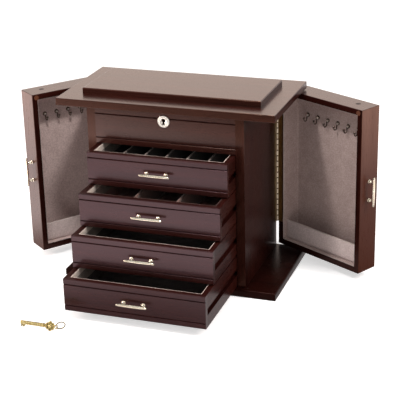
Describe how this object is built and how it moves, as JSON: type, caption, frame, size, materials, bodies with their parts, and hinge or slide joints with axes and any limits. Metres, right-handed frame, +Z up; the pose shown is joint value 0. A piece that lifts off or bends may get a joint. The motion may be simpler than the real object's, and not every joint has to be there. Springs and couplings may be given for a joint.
{
  "type": "jewelry box",
  "caption": "Upright wooden jewelry box with fabric-lined drawers, swing-out necklace doors and a locking lid over a top well.",
  "frame": {"origin": "centre of the base plate's underside, on the surface that the box stands on", "axes": "+Z up, +X to the right seen from the front, the fronts of the drawers face -Y"},
  "size_m": [0.5911, 0.4219, 0.3167],
  "materials": {
    "lacquered_wood": "glossy dark cherry lacquer",
    "beige_fabric": "brushed velvet",
    "gold_metal": "satin",
    "hinge_metal": "polished",
    "steel": "satin",
    "mirror_glass": "silvered",
    "rubber": "matte"
  },
  "bodies": {
    "box": {"base_plate": "lacquered_wood", "side_board_left": "lacquered_wood", "side_board_right": "lacquered_wood", "back_board": "lacquered_wood", "well_floor": "lacquered_wood", "fascia": "lacquered_wood", "drawer_runners": "lacquered_wood", "well_lining": "beige_fabric", "ring_rolls": "beige_fabric", "lock_case": "steel", "escutcheon": "gold_metal", "door_hinge_body_leaves": "hinge_metal", "door_hinge_pins": "hinge_metal", "lid_hinge_body_leaves": "hinge_metal"},
    "lid": {"lid_slab": "lacquered_wood", "lid_raised_panel": "lacquered_wood", "mirror_frame": "lacquered_wood", "mirror_glass": "mirror_glass", "strike_plate": "gold_metal", "lid_hinge_lid_leaves": "hinge_metal"},
    "door_left": {"door_left_case": "lacquered_wood", "door_left_panel": "lacquered_wood", "door_left_lining": "beige_fabric", "door_left_pocket": "beige_fabric", "door_left_hooks": "gold_metal", "door_left_hinge_leaf": "hinge_metal", "door_left_pull": "gold_metal", "door_left_magnet": "steel", "door_left_bumper": "rubber"},
    "door_right": {"door_right_case": "lacquered_wood", "door_right_panel": "lacquered_wood", "door_right_lining": "beige_fabric", "door_right_pocket": "beige_fabric", "door_right_hooks": "gold_metal", "door_right_hinge_leaf": "hinge_metal", "door_right_pull": "gold_metal", "door_right_magnet": "steel", "door_right_bumper": "rubber"},
    "drawer_1": {"drawer_1_front": "lacquered_wood", "drawer_1_box": "lacquered_wood", "drawer_1_lining": "beige_fabric", "drawer_1_pull": "gold_metal", "drawer_1_dividers": "beige_fabric"},
    "drawer_2": {"drawer_2_front": "lacquered_wood", "drawer_2_box": "lacquered_wood", "drawer_2_lining": "beige_fabric", "drawer_2_pull": "gold_metal", "drawer_2_dividers": "beige_fabric"},
    "drawer_3": {"drawer_3_front": "lacquered_wood", "drawer_3_box": "lacquered_wood", "drawer_3_lining": "beige_fabric", "drawer_3_pull": "gold_metal"},
    "drawer_4": {"drawer_4_front": "lacquered_wood", "drawer_4_box": "lacquered_wood", "drawer_4_lining": "beige_fabric", "drawer_4_pull": "gold_metal"},
    "lock_cam": {"lock_cam": "steel"},
    "lock_bolt": {"lock_bolt": "steel"},
    "key": {"key": "gold_metal"},
    "key_ring": {"key_ring": "gold_metal"}
  },
  "joints": [
    {"name": "lid_hinge", "type": "hinge", "parent": "box", "child": "lid", "pos_m": [0, 0.0939, 0.2955], "axis": [-1, 0, 0], "range_deg": [0, 95]},
    {"name": "door_left_hinge", "type": "hinge", "parent": "box", "child": "door_left", "pos_m": [-0.1312, 0.0944, 0.155], "axis": [0, 0, -1], "range_deg": [-38.1, 81.9]},
    {"name": "door_right_hinge", "type": "hinge", "parent": "box", "child": "door_right", "pos_m": [0.1312, 0.0944, 0.155], "axis": [0, 0, 1], "range_deg": [-61, 59]},
    {"name": "drawer_1_slide", "type": "slide", "parent": "box", "child": "drawer_1", "axis": [0, -1, 0], "range_m": [-0.041, 0.117]},
    {"name": "drawer_2_slide", "type": "slide", "parent": "box", "child": "drawer_2", "axis": [0, -1, 0], "range_m": [-0.08, 0.078]},
    {"name": "drawer_3_slide", "type": "slide", "parent": "box", "child": "drawer_3", "axis": [0, -1, 0], "range_m": [-0.116, 0.042]},
    {"name": "drawer_4_slide", "type": "slide", "parent": "box", "child": "drawer_4", "axis": [0, -1, 0], "range_m": [-0.1547, 0.0033]},
    {"name": "lock_cam_turn", "type": "hinge", "parent": "box", "child": "lock_cam", "pos_m": [0, -0.0805, 0.2831], "axis": [0, -1, 0], "range_deg": [0, 90]},
    {"name": "lock_bolt_lift", "type": "slide", "parent": "box", "child": "lock_bolt", "axis": [0, 0, 1], "range_m": [0, 0.006]},
    {"name": "key_lift", "type": "slide", "parent": "box", "child": "key", "axis": [0, 0, 1], "range_m": [0, 0.08]},
    {"name": "key_ring_swing", "type": "hinge", "parent": "key", "child": "key_ring", "pos_m": [-0.1102, -0.2876, 0.0075], "axis": [-0.6186, 0.7473, 0.2428], "range_deg": [-20, 20]}
  ],
  "couplings": [
    {"joint": "lock_cam_turn", "follows": "lock_bolt_lift", "rad_per_m": 261.8}
  ]
}
